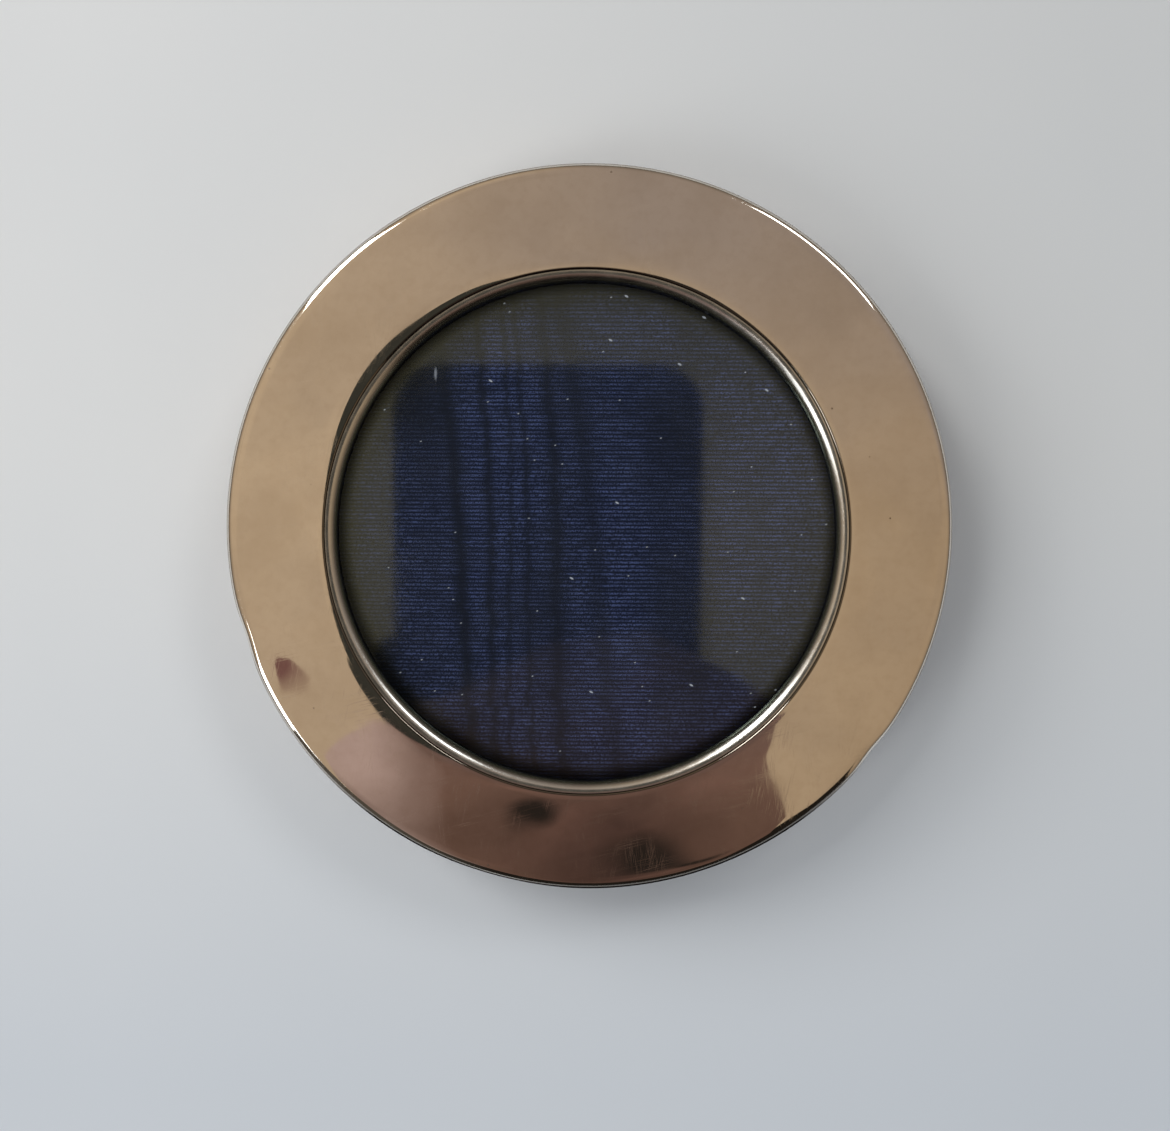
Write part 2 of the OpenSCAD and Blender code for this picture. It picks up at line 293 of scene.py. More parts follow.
class Shader:
    """Node tree of a new material or world. Most methods add nodes and give back an output socket."""

    def __init__(self, name, kind="materials"):
        self.owner = getattr(bpy.data, kind).new(name)
        self.owner.use_nodes = True
        self.tree = self.owner.node_tree
        self.tree.nodes.clear()
        self.place = self.node("TexCoord").outputs["Object"]
        self.x, self.y, self.z = self.node("SeparateXYZ", {0: self.place}).outputs

    def node(self, kind, sockets=None, **settings):
        made = self.tree.nodes.new("ShaderNode" + kind)
        for key, value in settings.items():
            setattr(made, key, value)
        for key, value in (sockets or {}).items():
            if isinstance(value, bpy.types.NodeSocket):
                self.tree.links.new(value, made.inputs[key])
            else:
                made.inputs[key].default_value = value
        return made

    def math(self, operation, a, b=0.0):
        return self.node("Math", {0: a, 1: b}, operation=operation).outputs[0]

    def plus(self, a, b):
        return self.math("ADD", a, b)

    def minus(self, a, b):
        return self.math("SUBTRACT", a, b)

    def times(self, a, b):
        return self.math("MULTIPLY", a, b)

    def larger(self, a, b):
        return self.math("MAXIMUM", a, b)

    def length(self, a, b):
        return self.math("SQRT", self.plus(self.times(a, a), self.times(b, b)))

    def mix(self, share, a, b):
        return self.node("Mix", {0: share, 6: opaque(a), 7: opaque(b)}, data_type="RGBA").outputs[2]

    def span(self, value, low, high, to_low=0.0, to_high=1.0):
        """value from low..high onto to_low..to_high, clamped."""
        return self.node("MapRange", {0: value, 1: low, 2: high, 3: to_low, 4: to_high}).outputs[0]

    def stretched(self, stretch, turn_deg=0.0):
        """Object coordinates turned about Z and drawn out along the new X by stretch."""
        return self.node("Mapping", {"Vector": self.place, "Rotation": (0, 0, math.radians(turn_deg)),
                                     "Scale": (stretch, 1, 1)}, vector_type="TEXTURE").outputs[0]

    def noise(self, size, detail=2.0, stretch=1.0, turn_deg=0.0, rough=0.5):
        """Noise whose lumps are about size across, 0 to 1."""
        return self.node("TexNoise", {"Vector": self.stretched(stretch, turn_deg), "Scale": 1 / size,
                                      "Detail": detail, "Roughness": rough}).outputs[0]

    def specks(self, spacing, radius, share, stretch=1.0, turn_deg=0.0, dimensions="3D"):
        """1 inside small specks, in about share of the cells of a loose grid."""
        cell = self.node("TexVoronoi", {"Vector": self.stretched(stretch, turn_deg), "Scale": 1 / spacing},
                         feature="F1", voronoi_dimensions=dimensions)
        near = self.span(cell.outputs["Distance"], radius / spacing, 0.5 * radius / spacing)
        chosen = self.node("SeparateColor", {0: cell.outputs["Color"]}).outputs[0]
        return self.times(near, self.math("LESS_THAN", chosen, share))

    def blot(self, across, up, half_x, half_y):
        """1 inside a soft upright oval, fading to 0 a little outside it. Sizes and places in millimetres."""
        u = self.math("DIVIDE", self.minus(self.x, across * MM), half_x * MM)
        v = self.math("DIVIDE", self.minus(self.y, up * MM), half_y * MM)
        return self.span(self.length(u, v), 1.5, 0.5)

    def radius(self, centre=(0.0, 0.0)):
        """Distance from the frame's axis, or from another upright axis."""
        return self.length(self.minus(self.x, centre[0]), self.minus(self.y, centre[1]))

    def scratches(self, width, turns):
        """Fine scratches in several directions, broken up into patches."""
        total = 0.0
        for k, turn in enumerate(turns):
            line = self.span(self.noise(width, 0, 70, turn), 0.66, 0.74)
            patch = self.span(self.noise(3 * MM, 1, 2 + k, turn), 0.5, 0.62)
            total = self.larger(total, self.times(line, patch))
        return total

    def surface(self, shader):
        self.node("OutputMaterial", {"Surface": shader})
        return self.owner

    def layered(self, share, under, over):
        """Finished surface of two shaders, with share of the second one."""
        return self.surface(self.node("MixShader", {0: share, 1: under, 2: over}).outputs[0])

    def principled(self, colour, rough, height, depth, **more):
        """Principled surface with a bump of that depth. Other sockets are written with _ for a space."""
        bump = self.node("Bump", {"Height": height, "Distance": depth, "Strength": 1.0}).outputs[0]
        sockets = {"Base Color": colour, "Roughness": rough, "Normal": bump}
        sockets.update({key.replace("_", " "): opaque(value) for key, value in more.items()})
        return self.surface(self.node("BsdfPrincipled", sockets).outputs[0])


def polished_silver(opening_r, rim_r, face_z):
    """Mirror polish with a thin film, scratches and pits; painted shade darkens the crease at the opening, a
    painted duller brown band stands in for the rim's dim reflection, and a near-black painted band along the foot
    stands in for a dark reflection and shade.
    """
    s = Shader("polished_silver")
    clouds = s.span(s.noise(7 * MM, 4), 0.42, 0.68)
    film = s.span(s.noise(1.2 * MM, 3), 0.45, 0.75)
    marks = s.scratches(0.05 * MM, (78, 97, 15))
    pits = s.specks(2.4 * MM, 0.16 * MM, 0.16)
    # painted shade: the silver is coloured nearly black in the crease where the face turns down into the opening
    crease = s.span(s.radius(OFF_CENTRE), opening_r + 0.14 * MM, opening_r + 0.32 * MM, 1, 0)
    r = s.radius()
    shoulder = s.span(s.z, face_z - 4 * MM, face_z - 2 * MM)
    # painted reflection: a duller brown, partly non-metal band on the shoulder's outer edge stands in for the dim
    # reflection seen there instead of the mirrored floor
    edge = s.times(s.span(r, rim_r - 0.45 * MM, rim_r - 0.15 * MM, 0, 0.8), shoulder)
    dull = s.times(s.span(r, rim_r - 0.30 * MM, rim_r - 0.12 * MM, 0, 0.8), shoulder)
    # painted dark reflection and shade: a near-black non-metal band on the shoulder, only along the frame's foot
    painted_dark_foot = s.times(s.span(r, rim_r - 0.65 * MM, rim_r - 0.40 * MM), shoulder)
    painted_dark_foot = s.times(painted_dark_foot, s.span(s.y, -27 * MM, -35 * MM))
    colour = s.mix(clouds, (0.90, 0.835, 0.75), (0.83, 0.76, 0.67))
    colour = s.mix(s.times(film, 0.35), colour, (0.78, 0.70, 0.60))
    # painted shade in the crease at the opening
    colour = s.mix(s.times(crease, 0.85), colour, (0.13, 0.10, 0.07))
    # painted reflection: the brown band round the rim's edge
    colour = s.mix(edge, colour, (0.19, 0.155, 0.12))
    # painted dark reflection and shade along the foot
    colour = s.mix(painted_dark_foot, colour, (0.013, 0.010, 0.008))
    colour = s.mix(s.times(pits, 0.8), colour, (0.20, 0.14, 0.09))
    rough = s.plus(s.span(clouds, 0, 1, 0.025, 0.07), s.times(marks, 0.15))
    rough = s.plus(s.plus(rough, s.times(edge, 0.15)), s.times(pits, 0.3))
    height = s.plus(s.times(marks, -0.4), s.times(s.noise(2.5 * MM, 2), 2.0))
    # non-metal where the painted bands are, so they mirror nothing
    metal = s.span(s.larger(painted_dark_foot, dull), 0, 1, 1, 0)
    return s.principled(colour, rough, height, 0.0006 * MM, Metallic=metal, Specular_IOR_Level=0.0)


def bead_silver(inner_r, outer_r):
    """Silver painted darker for shade: in the crease at its outer edge and, more widely, down its inner side
    towards the glass.
    """
    s = Shader("bead_silver")
    film = s.span(s.noise(1.5 * MM, 3), 0.4, 0.75)
    r = s.radius(OFF_CENTRE)
    # painted shade: darker in the crease where the bead meets the face
    crease = s.span(r, outer_r - 0.08 * MM, outer_r, 0, 0.7)
    # painted shade: darker down the bead's inner side towards the glass, standing in for the shadow there
    depth = s.span(r, outer_r - 0.45 * MM, inner_r + 0.20 * MM, 0, 0.86)
    colour = s.mix(s.times(film, 0.5), (0.84, 0.82, 0.77), (0.72, 0.69, 0.62))
    # painted shade in the crease and down the inner side
    colour = s.mix(s.larger(crease, depth), colour, (0.045, 0.040, 0.034))
    rough = s.span(film, 0, 1, 0.20, 0.27)
    return s.principled(colour, rough, s.noise(3.0 * MM, 1), 0.001 * MM, Metallic=1.0)


def picture_glass(opening_r):
    """Clear glass with dust and lint on its upper face, and painted shade in a ring along the bead, where it lets
    less through and mirrors less.
    """
    s = Shader("picture_glass")
    facing = s.minus(1.0, s.node("NewGeometry").outputs["Backfacing"])
    # painted shade: a ring along the bead where the glass mirrors less and lets less through, standing in for the
    # shadow and the cut reflection there
    painted_rim_shade = s.span(s.radius(), opening_r - 1.5 * MM, opening_r - 0.2 * MM)
    mirrored = s.times(s.node("Fresnel", {"IOR": 1.52}).outputs[0], s.span(painted_rim_shade, 0, 1, 2.35, 0.55))
    smear = s.span(s.noise(5 * MM, 3), 0.45, 0.8, 0.055, 0.10)
    # painted shade: the glass darkens what shows through it near the bead
    tint = s.mix(painted_rim_shade, (0.975, 0.985, 0.98), (0.45, 0.45, 0.45))
    clear = s.node("BsdfTransparent", {"Color": tint}).outputs[0]
    gloss = s.node("BsdfGlossy", {"Color": (0.84, 1, 0.81, 1), "Roughness": smear},
                   distribution="GGX").outputs[0]
    glass = s.node("MixShader", {0: s.times(mirrored, facing), 1: clear, 2: gloss}).outputs[0]
    dust = s.times(s.specks(1.7 * MM, 0.10 * MM, 0.11, 1.8, 20, "2D"), 0.50)
    grit = s.times(s.specks(4.4 * MM, 0.15 * MM, 0.16, 2.2, -28, "2D"), 0.62)
    lint = s.times(s.blot(-18.4, 19.3, 0.15, 0.65), 0.35)
    haze = s.span(s.noise(6 * MM, 4), 0.4, 0.8, 0.0, 0.009)
    cover = s.times(s.larger(s.larger(dust, grit), s.larger(lint, haze)), facing)
    white = s.node("BsdfDiffuse", {"Color": (0.50, 0.52, 0.56, 1)}).outputs[0]
    return s.layered(cover, glass, white)


def watered_silk():
    """Dark ground with a painted blue highlight along the rib crests; ground and highlight both change where the
    watermark pressed the ribs flat.
    """
    s = Shader("watered_silk")
    crest = s.node("Attribute", attribute_name="crest").outputs["Fac"]
    mark = s.node("Attribute", attribute_name="watermark").outputs["Fac"]
    yarn = s.noise(0.17 * MM, 1)
    slub = s.noise(0.6 * MM, 2, 4)
    # painted highlight: brighter blue colour on the rib crests, standing in for their sheen
    ridge = s.times(s.math("POWER", crest, 3.0), s.span(yarn, 0.38, 0.62, 0.1, 1.35))
    painted_crest_highlight = s.times(ridge, s.span(mark, 0, 1, 0.04, 1.0))
    painted_crest_highlight = s.times(painted_crest_highlight, s.span(slub, 0.35, 0.65, 0.5, 1.15))
    ground = s.mix(mark, (0.0038, 0.0055, 0.0170), (0.0032, 0.0055, 0.0225))
    colour = s.mix(painted_crest_highlight, ground, (0.074, 0.097, 0.236))
    rough = s.span(mark, 0, 1, 0.55, 0.42)
    return s.principled(colour, rough, yarn, 0.012 * MM, Specular_IOR_Level=0.15,
                        Specular_Tint=(0.7, 0.8, 1.0))


def velvet():
    s = Shader("navy_velvet")
    pile = s.noise(0.14 * MM, 3)
    crush = s.span(s.noise(5 * MM, 4), 0.35, 0.7)
    colour = s.mix(crush, (0.006, 0.007, 0.024), (0.016, 0.020, 0.062))
    colour = s.mix(s.span(pile, 0.45, 0.8), colour, (0.032, 0.038, 0.105))
    return s.principled(colour, s.span(crush, 0, 1, 0.95, 0.8), pile, 0.12 * MM, Specular_IOR_Level=0.2,
                        Sheen_Weight=0.8, Sheen_Roughness=0.35, Sheen_Tint=(0.25, 0.30, 0.62))


def ribbon():
    s = Shader("navy_ribbon")
    weave = s.noise(0.12 * MM, 1, 5)
    colour = s.mix(weave, (0.009, 0.012, 0.045), (0.035, 0.045, 0.14))
    return s.principled(colour, 0.45, weave, 0.03 * MM, Specular_IOR_Level=0.4, Sheen_Weight=0.4,
                        Sheen_Tint=(0.4, 0.5, 0.9))


def felt():
    s = Shader("wadding")
    fluff = s.noise(0.5 * MM, 5, rough=0.7)
    colour = s.mix(fluff, (0.58, 0.56, 0.51), (0.86, 0.85, 0.81))
    return s.principled(colour, 0.95, fluff, 0.25 * MM, Sheen_Weight=0.3)


def card(name, dark, light):
    s = Shader(name)
    fibre = s.plus(s.noise(0.35 * MM, 3, 5, 25), s.noise(0.35 * MM, 3, 5, 115))
    cloud = s.noise(4 * MM, 3)
    colour = s.mix(s.span(s.plus(fibre, cloud), 1.1, 1.9), dark, light)
    return s.principled(colour, s.span(cloud, 0.3, 0.7, 0.75, 0.9), fibre, 0.02 * MM)


def wood(name, turned=False):
    """Pale sanded wood with its grain along Y, and with rings round the axis where it was turned."""
    s = Shader(name)
    grain = s.noise(0.6 * MM, 4, 24, 90, 0.6)
    figure = s.noise(5 * MM, 3, 8, 90)
    pores = s.span(s.noise(0.22 * MM, 1, 14, 90), 0.62, 0.72)
    colour = s.mix(s.span(s.plus(grain, figure), 0.75, 1.25), (0.27, 0.155, 0.075), (0.52, 0.35, 0.20))
    colour = s.mix(s.times(pores, 0.6), colour, (0.13, 0.07, 0.035))
    height = s.minus(grain, pores)
    if turned:
        tool_pitch = 0.35 * MM
        height = s.plus(height, s.math("SINE", s.times(s.radius(), math.tau / tool_pitch)))
    return s.principled(colour, s.span(grain, 0.3, 0.7, 0.5, 0.68), height, 0.025 * MM)


def brass(name, bright, dull, rough):
    """Rolled brass with a thin film and fine scratches. rough is where the film is thinnest."""
    s = Shader(name)
    film = s.span(s.noise(1.6 * MM, 4), 0.4, 0.7)
    rolled = s.noise(0.05 * MM, 2, 40, 0)
    marks = s.scratches(0.07 * MM, (15, 60, 110))
    colour = s.mix(film, bright, dull)
    rough = s.plus(s.span(film, 0, 1, rough, rough + 0.14), s.times(marks, 0.15))
    height = s.minus(s.times(rolled, 0.5), marks)
    return s.principled(colour, rough, height, 0.004 * MM, Metallic=1.0)


def pale_floor():
    """Pale matt table with painted light, lighter and warmer to the left and darker and cooler towards the front,
    that can't be seen from below.
    """
    s = Shader("pale_floor")
    under = s.node("NewGeometry").outputs["Backfacing"]
    passes = s.larger(under, s.node("LightPath").outputs["Is Shadow Ray"])
    cloud = s.noise(60 * MM, 3)
    # painted light: lighter and warmer to the left, darker to the right
    colour = s.mix(s.span(s.x, -65 * MM, 65 * MM), (0.86, 0.83, 0.79), (0.70, 0.68, 0.65))
    # painted light: darker and cooler towards the front
    colour = s.mix(s.span(s.y, 10 * MM, -75 * MM, 0, 0.6), colour, (0.62, 0.65, 0.69))
    colour = s.mix(s.span(cloud, 0.3, 0.7, 0, 0.1), colour, (0.60, 0.62, 0.64))
    matt = s.node("BsdfDiffuse", {"Color": colour, "Roughness": 0.3}).outputs[0]
    clear = s.node("BsdfTransparent").outputs[0]
    return s.layered(passes, matt, clear)


# ---------- front ----------

def hand_worked(points, opening_r, rim_r, face_z):
    """Moves points of the silver as hand work and knocks left them: waves in the face, an uneven roll at an
    opening off the rim's centre, and small dents in the rim."""
    x, y, z = points.T
    r = np.hypot(x, y)
    turn = np.arctan2(y, x)
    on_face = smooth_step(face_z - 1.6 * MM, face_z - 0.5 * MM, z)
    sunk, roll_depth, dent_depth = 0.035 * MM, 0.19 * MM, 0.28 * MM
    inside = smooth_step(opening_r, opening_r + 2 * MM, r) * smooth_step(rim_r, rim_r - 2.5 * MM, r)
    drop = 0.016 * MM * waves(x, y, 17 * MM, SEED) + 0.004 * MM * waves(x, y, 6 * MM, SEED + 1)
    z = z + on_face * (inside * drop - sunk)

    def near(deg, spread):
        """1 at a turn round the axis, fading over spread degrees."""
        off = (turn - math.radians(deg) + math.pi) % math.tau - math.pi
        return np.exp(-((off / math.radians(spread)) ** 2))

    wide = 0.75 * near(138, 22) + 0.65 * near(219, 20) + 0.2 * near(60, 40)
    roll = smooth_step(opening_r + 1.15 * MM, opening_r - 0.4 * MM, r)
    z = z - on_face * roll * wide * roll_depth
    dent = dent_depth * (near(323, 3.5) + near(197, 4)) + 0.1 * MM * near(255, 9)
    squeezed = smooth_step(rim_r - 3 * MM, rim_r - 0.4 * MM, r) * dent
    scale = (r - squeezed) / r
    off = smooth_step(rim_r - 2 * MM, opening_r + 1 * MM, r)
    return np.stack([x * scale + off * OFF_CENTRE[0], y * scale + off * OFF_CENTRE[1], z], axis=1)


def silver_front():
    """Pressed sheet: flat face, rounded shoulder, side skirt and a turned-down lip at the opening."""
    opening_r, rim_r, skirt_z, face_z = extents("silver_front")
    sheet = rim_r - radii("core_ring")[1]
    lip_z = face_z - LIP_DEPTH
    corners = [
        (rim_r, skirt_z, 0.12 * MM), (rim_r, face_z, SHOULDER_R), (opening_r, face_z, ROLL_R),
        (opening_r, lip_z, 0.1 * MM), (opening_r + sheet, lip_z, 0.1 * MM),
        (opening_r + sheet, face_z - sheet, 0.02 * MM),
        (rim_r - sheet, face_z - sheet, SHOULDER_R - sheet), (rim_r - sheet, skirt_z, 0.12 * MM),
    ]
    points, faces = turned_ring(corners, 9, 0.7 * MM)
    shape = hand_worked(points, opening_r, rim_r, face_z), faces
    piece("polished_front", shape, polished_silver(opening_r, rim_r, face_z), "silver_front")


def aperture_bead():
    """Half-round ring inside the lip, with a flange that the glass presses on."""
    inner_r, flange_r, low, high = extents("aperture_bead")
    width = high - low
    outer_r = inner_r + width
    profile = arc((outer_r, low), width, math.pi, -math.pi / 2, 16) + [
        (outer_r, low + BEAD_FLANGE_T), (flange_r, low + BEAD_FLANGE_T), (flange_r, low)]
    points, faces = lathed(subdivided(profile, 0.5 * MM), loop=True)
    x, y, z = points.T
    flat = 0.02 * MM * waves(x, y, 11 * MM, SEED + 2)
    points = np.stack([x + OFF_CENTRE[0], y + OFF_CENTRE[1], z + flat * smooth_step(low, high, z)], axis=1)
    piece("half_round_bead", (points, faces), bead_silver(inner_r, outer_r), "aperture_bead")


def core_ring():
    """Wooden ring whose bore steps out for the glass and again for the back."""
    bore_r, outer_r, low, high = extents("core_ring")
    high -= WAVE_ROOM
    glass_r, glass_top = radii("glass")[1] + 0.2 * MM, levels("glass")[1]
    rebate_r, rebate_top = radii("rear_ring_cover")[0] - 0.3 * MM, levels("spacer_ring")[0]
    corners = [
        (outer_r, low, 0.1 * MM), (outer_r, high, 0.7 * MM), (bore_r, high, 0.1 * MM),
        (bore_r, glass_top, 0), (glass_r, glass_top, 0), (glass_r, rebate_top, 0.1 * MM),
        (rebate_r, rebate_top, 0), (rebate_r, low, 0.25 * MM),
    ]
    piece("turned_core", turned_ring(corners, 4, 1.5 * MM), wood("core_wood", turned=True), "core_ring")


def rear_ring_cover(material):
    """Velvet ring pieced from four quarter strips with butt seams."""
    inner_r, outer_r, low, high = extents("rear_ring_cover")
    corners = [(inner_r, low, 0.18 * MM), (outer_r, low, 0.18 * MM), (outer_r, high, 0), (inner_r, high, 0)]
    section = subdivided(filleted(corners, 5), 0.9 * MM)
    seam = 0.05 * MM
    steps = AROUND // 4
    for k in range(4):
        rings = []
        for i in range(steps + 1):
            turn = math.radians(90 * k + 90 * i / steps)
            pull = seam if i == 0 else -seam if i == steps else 0
            side = np.array([-math.sin(turn), math.cos(turn), 0]) * pull
            rings.append(np.concatenate(spun(section, [turn])) + side)
        points, faces = skin(rings)
        x, y, z = points.T
        z = z + 0.025 * MM * waves(x, y, 3 * MM, SEED + 3) * smooth_step(high, low, z)
        shape = np.stack([x, y, np.maximum(z, low)], axis=1), faces
        quarter_ring = piece(f"ring_velvet_{k + 1}", shape, material, "rear_ring_cover")


def domed_head(radius, height):
    """Profile of a domed head from its rim to near its middle, standing on z 0."""
    ball = (radius ** 2 + height ** 2) / (2 * height)
    widest = math.asin(radius / ball)
    near_top = math.radians(1)
    return arc((0, height - ball), ball, math.pi / 2 - widest, widest - near_top, 8)


def skirt_pins():
    """Six round-headed pins through the skirt, whose polish has neither the painted crease shade nor the painted
    bands at the rim.
    """
    tip_r, head_r, low, high = extents("skirt_pins")
    centre_z = (low + high) / 2
    rim_r = radii("silver_front")[1]
    length, proud = rim_r - tip_r, head_r - rim_r
    sunk = 0.05 * MM
    profile = [(0.02 * MM, -length), (PIN_SHANK_R * 0.5, -length * 0.94), (PIN_SHANK_R, -length * 0.8),
               (PIN_SHANK_R, -sunk), (PIN_HEAD_R, -sunk)] + domed_head(PIN_HEAD_R, proud)
    nail = lathed(profile, 40)
    shapes = []
    for k in range(6):
        turn = Matrix.Rotation(math.radians(15 + 60 * k), 4, "Z")
        place = turn @ Matrix.Translation((rim_r, 0, centre_z)) @ Matrix.Rotation(math.pi / 2, 4, "Y")
        shapes.append(moved(nail, place))
    piece("round_head_pins", merged(shapes), polished_silver(0, 2 * rim_r, 0), "skirt_pins")


def glass():
    _, edge_r, low, high = extents("glass")
    chamfer = 0.15 * MM
    profile = [(edge_r - 6 * chamfer, low), (edge_r - chamfer, low), (edge_r, low + chamfer),
               (edge_r, high - chamfer), (edge_r - chamfer, high), (edge_r - 6 * chamfer, high)]
    piece("picture_glass", lathed(profile), picture_glass(radii("aperture_bead")[0]), "glass")


def spacer_ring():
    inner_r, outer_r, low, high = extents("spacer_ring")
    edge = 0.06 * MM
    corners = [(inner_r, low, edge), (outer_r, low, edge), (outer_r, high, edge), (inner_r, high, edge)]
    black = card("black_card", (0.006, 0.006, 0.007), (0.02, 0.02, 0.022))
    piece("card_spacer", turned_ring(corners, 3, 1 * MM), black, "spacer_ring")


# ---------- padded back ----------

def watermark(x, y, rib):
    """How far the watering left the ribs standing at each point: 1 standing, 0 pressed flat."""
    rng = np.random.default_rng(SEED + 4)
    x = x + rng.normal(0, 0.10 * MM, RIBS)[rib] + rng.normal(0, 0.12 * MM, RIBS)[rib // 5]
    bend = 0.35 * MM * np.sin(y / (9 * MM) + 0.7)
    standing = np.ones(np.shape(x))
    # place across at mid height in mm, lean, half width in mm, depth
    streaks = [
        (-16.2, 0.088, 0.95, 0.96), (-12.3, 0.046, 0.66, 0.92), (-9.75, 0.02, 0.38, 0.82),
        (-7.65, 0.046, 0.40, 0.86), (-4.15, 0.05, 0.85, 0.85), (0.5, 0.13, 1.25, 0.68),
        (8.5, 0.07, 0.9, 0.30), (13.5, 0.05, 1.2, 0.35), (21.0, 0.04, 1.4, 0.30),
    ]
    for middle, lean, half, depth in streaks:
        off = x - (middle * MM - lean * y + bend)
        standing *= 1 - depth * np.exp(-((off / (half * MM)) ** 2))
    # middle, half width and half height in mm, and depth, of wide fades
    fades = [(-21, 17, 4, 9, 0.85), (-25.5, -2, 2, 22, 0.7), (10.5, 13, 5, 9, 0.80), (16, -16, 6, 7, 0.5)]
    for across, up, half_x, half_y, depth in fades:
        standing *= 1 - depth * np.exp(-((x / MM - across) / half_x) ** 2 - ((y / MM - up) / half_y) ** 2)
    patches = waves(x, y * 0.22, 9 * MM, SEED + 5)
    return np.clip(standing * (0.80 + 0.20 * patches), 0, 1)


def moire_silk():
    """Watered silk over the pad: real ribs across, pressed in streaks, with the edge turned down."""
    _, edge_r, low, high = extents("moire_silk")
    bend_r = 0.5 * MM
    flat_r = edge_r - bend_r
    step = RIB_PITCH / ROWS_PER_RIB
    rows = np.arange(-math.floor(flat_r / step), math.floor(flat_r / step) + 1)
    # places along a row, closest together where the streaks are
    across = np.concatenate([np.arange(-1, -0.72, 0.04), np.arange(-0.72, 0.12, 0.0125),
                             np.arange(0.12, 0.99, 0.035), [1]])
    y = np.repeat(rows * step, len(across)).reshape(len(rows), -1)
    half = np.sqrt(np.maximum(flat_r ** 2 - y ** 2, (0.6 * MM) ** 2))
    x = across[None, :] * half
    rib = (rows // ROWS_PER_RIB + RIBS // 2)[:, None] + np.zeros_like(x, int)
    standing = watermark(x, y, rib)
    phase = (rows % ROWS_PER_RIB)[:, None] / ROWS_PER_RIB + np.zeros_like(x)
    crest = np.sqrt(np.abs(np.sin(math.pi * phase)))
    r = np.hypot(x, y)
    calm = smooth_step(flat_r, flat_r - 1 * MM, r)
    puff = 0.22 * MM * (1 - (r / flat_r) ** 2) + 0.02 * MM * waves(x, y, 14 * MM, SEED + 6) * calm
    relief = RIB_HEIGHT * (crest - 0.5) * (0.35 + 0.65 * standing) * calm
    top = np.stack([x, y, high - 0.03 * MM + puff + relief], axis=2)

    number = np.arange(x.size).reshape(x.shape).tolist()
    faces = []
    for a, b in zip(number, number[1:]):
        faces += [(a[k], a[k + 1], b[k + 1], b[k]) for k in range(len(a) - 1)]
    rim = number[0] + [row[-1] for row in number[1:]] + number[-1][-2::-1]
    rim += [row[0] for row in number[-2:0:-1]]
    turns = np.arctan2(y.ravel()[rim], x.ravel()[rim])
    inner_r = edge_r - SILK_T
    wall = [(flat_r + bend_r * math.sin(t), high - bend_r + bend_r * math.cos(t))
            for t in np.radians((30, 60, 90))]
    wall += [(edge_r, low + 0.6 * MM), (edge_r - 0.05 * MM, low + 0.08 * MM), (inner_r, low),
             (inner_r, high - SILK_T)]
    points = np.concatenate([top.reshape(-1, 3)] + spun(wall, turns))
    rings = [rim] + [range(i, i + len(rim)) for i in range(x.size, len(points), len(rim))]
    for a, b in zip(rings, rings[1:]):
        faces += band(a, b)
    faces.append(tuple(rings[-1]))
    values = {
        "crest": np.concatenate([crest.ravel()] + [np.full(len(rim), 0.6)] * len(wall)),
        "watermark": np.concatenate([standing.ravel()] + [standing.ravel()[rim]] * len(wall)),
    }
    made = piece("watered_silk", (points, faces), watered_silk(), "moire_silk", 60, values)


def soft_disc(node, edge, longest, lump=0.0, size=5 * MM, seed=SEED):
    """Disc of a node's size with round edges, whose faces sink by up to about lump in patches."""
    _, outer_r, low, high = extents(node)
    wall = rounded(edge, low, 1) + rounded(edge, high, -1)[::-1]
    profile = [(NEAR_AXIS_R, low)] + [(outer_r - inset, z) for inset, z in wall] + [(NEAR_AXIS_R, high)]
    points, faces = lathed(subdivided(profile, longest, loop=False), 192)
    x, y, z = points.T
    calm = smooth_step(outer_r, outer_r - 2 * edge, np.hypot(x, y))
    inward = lump * (1 + waves(x, y, size, seed)) * 0.5 * calm
    middle = (low + high) / 2
    return np.stack([x, y, z - np.sign(z - middle) * inward], axis=1), faces


def silk_wadding():
    shape = soft_disc("silk_wadding", 0.45 * MM, 1.5 * MM, 0.06 * MM, 3 * MM, SEED + 8)
    piece("wadding_pad", shape, felt(), "silk_wadding")


def insert_card():
    grey = card("grey_card", (0.22, 0.20, 0.17), (0.46, 0.43, 0.38))
    piece("stretcher_card", soft_disc("insert_card", 0.12 * MM, 3 * MM), grey, "insert_card")


def back_board(material):
    piece("wood_disc", soft_disc("back_board", 0.25 * MM, 3 * MM), material, "back_board")


def back_velvet(material):
    """Velvet over the back's outside and edge: an open cup with a rounded edge."""
    _, outer_r, low, high = extents("back_velvet")
    inner_r = outer_r - VELVET_T
    edge = 0.55 * MM
    cut_edge = 0.15 * MM
    profile = [(NEAR_AXIS_R, low)] + [(outer_r - inset, z) for inset, z in rounded(edge, low, 1, 6)]
    profile += [(outer_r, high - cut_edge), (outer_r - cut_edge, high), (inner_r, high),
                (inner_r, low + VELVET_T), (NEAR_AXIS_R, low + VELVET_T)]
    points, faces = lathed(subdivided(profile, 0.9 * MM, loop=False), 288)
    x, y, z = points.T
    nap = 0.03 * MM * (1 + waves(x, y, 2.4 * MM, SEED + 9)) * smooth_step(low + 0.3 * MM, low, z)
    shape = np.stack([x, y, z + nap * 0.5], axis=1), faces
    made = piece("back_velvet_cover", shape, material, "back_velvet")


